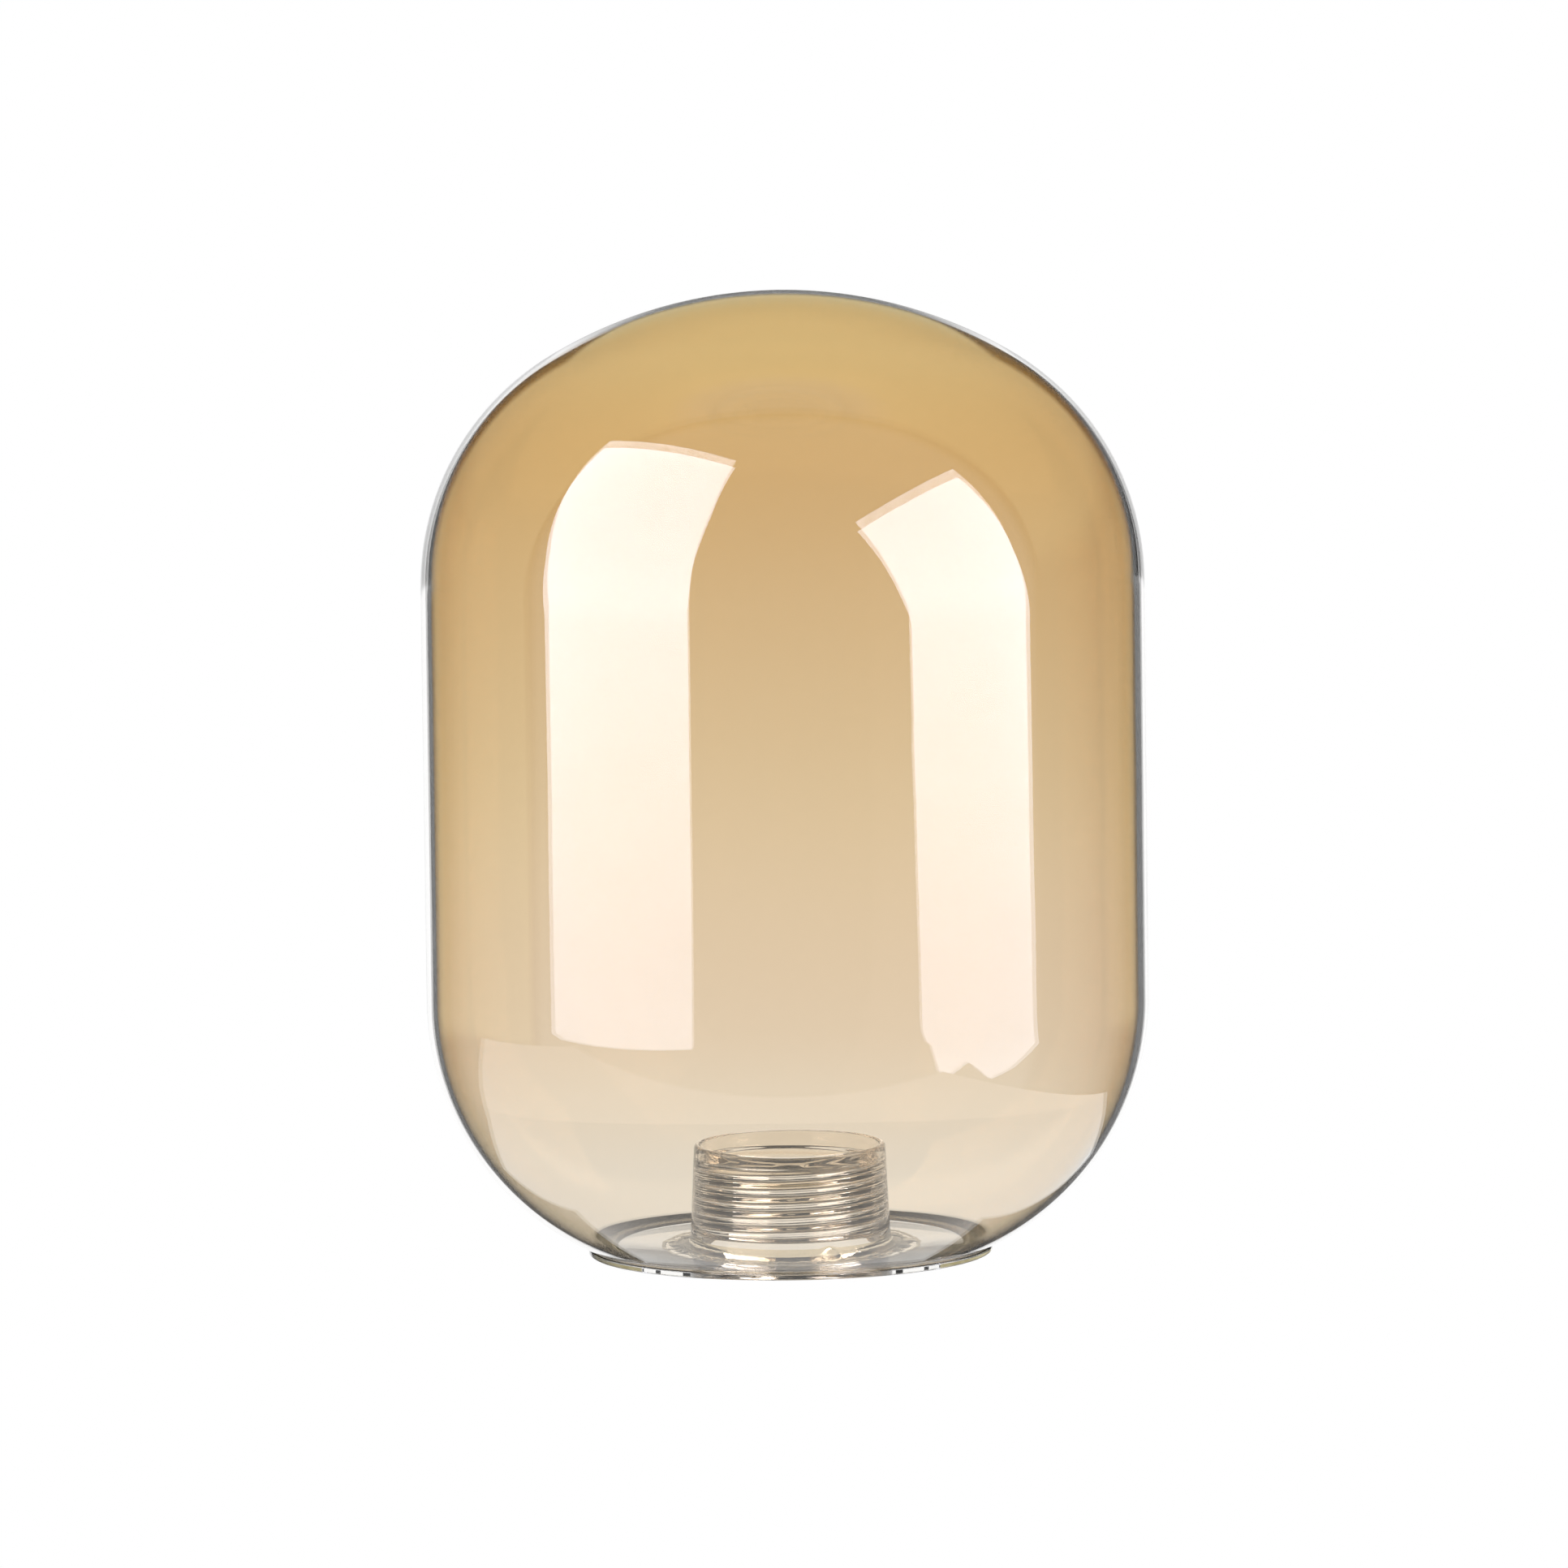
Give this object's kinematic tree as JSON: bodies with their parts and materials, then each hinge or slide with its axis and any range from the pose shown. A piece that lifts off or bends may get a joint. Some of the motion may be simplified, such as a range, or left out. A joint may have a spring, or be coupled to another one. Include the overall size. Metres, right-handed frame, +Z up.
{
  "type": "glass lampshade",
  "caption": "Capsule-shaped amber glass lampshade with a flat clear base and an internally threaded glass collar that screws onto a lampholder.",
  "frame": {"origin": "centre of the flat underside, where the shade stands", "axes": "+Z up along the shade's axis of revolution, towards the crown; X and Y are across the shade"},
  "size_m": [0.1, 0.1, 0.1335],
  "materials": {
    "amber_glass": "clear blown glass, amber at the crown fading to colourless at the foot",
    "clear_glass": "clear polished flat glass",
    "pressed_glass": "clear pressed glass with soft mould ripple",
    "clear_resin": "clear cured bonding resin, glossy and uneven"
  },
  "bodies": {
    "root": {"globe_shell": "amber_glass", "base_disc": "clear_glass", "threaded_collar": "pressed_glass", "collar_bond_ring": "clear_resin", "rim_bond_ring": "clear_resin"}
  },
  "joints": []
}
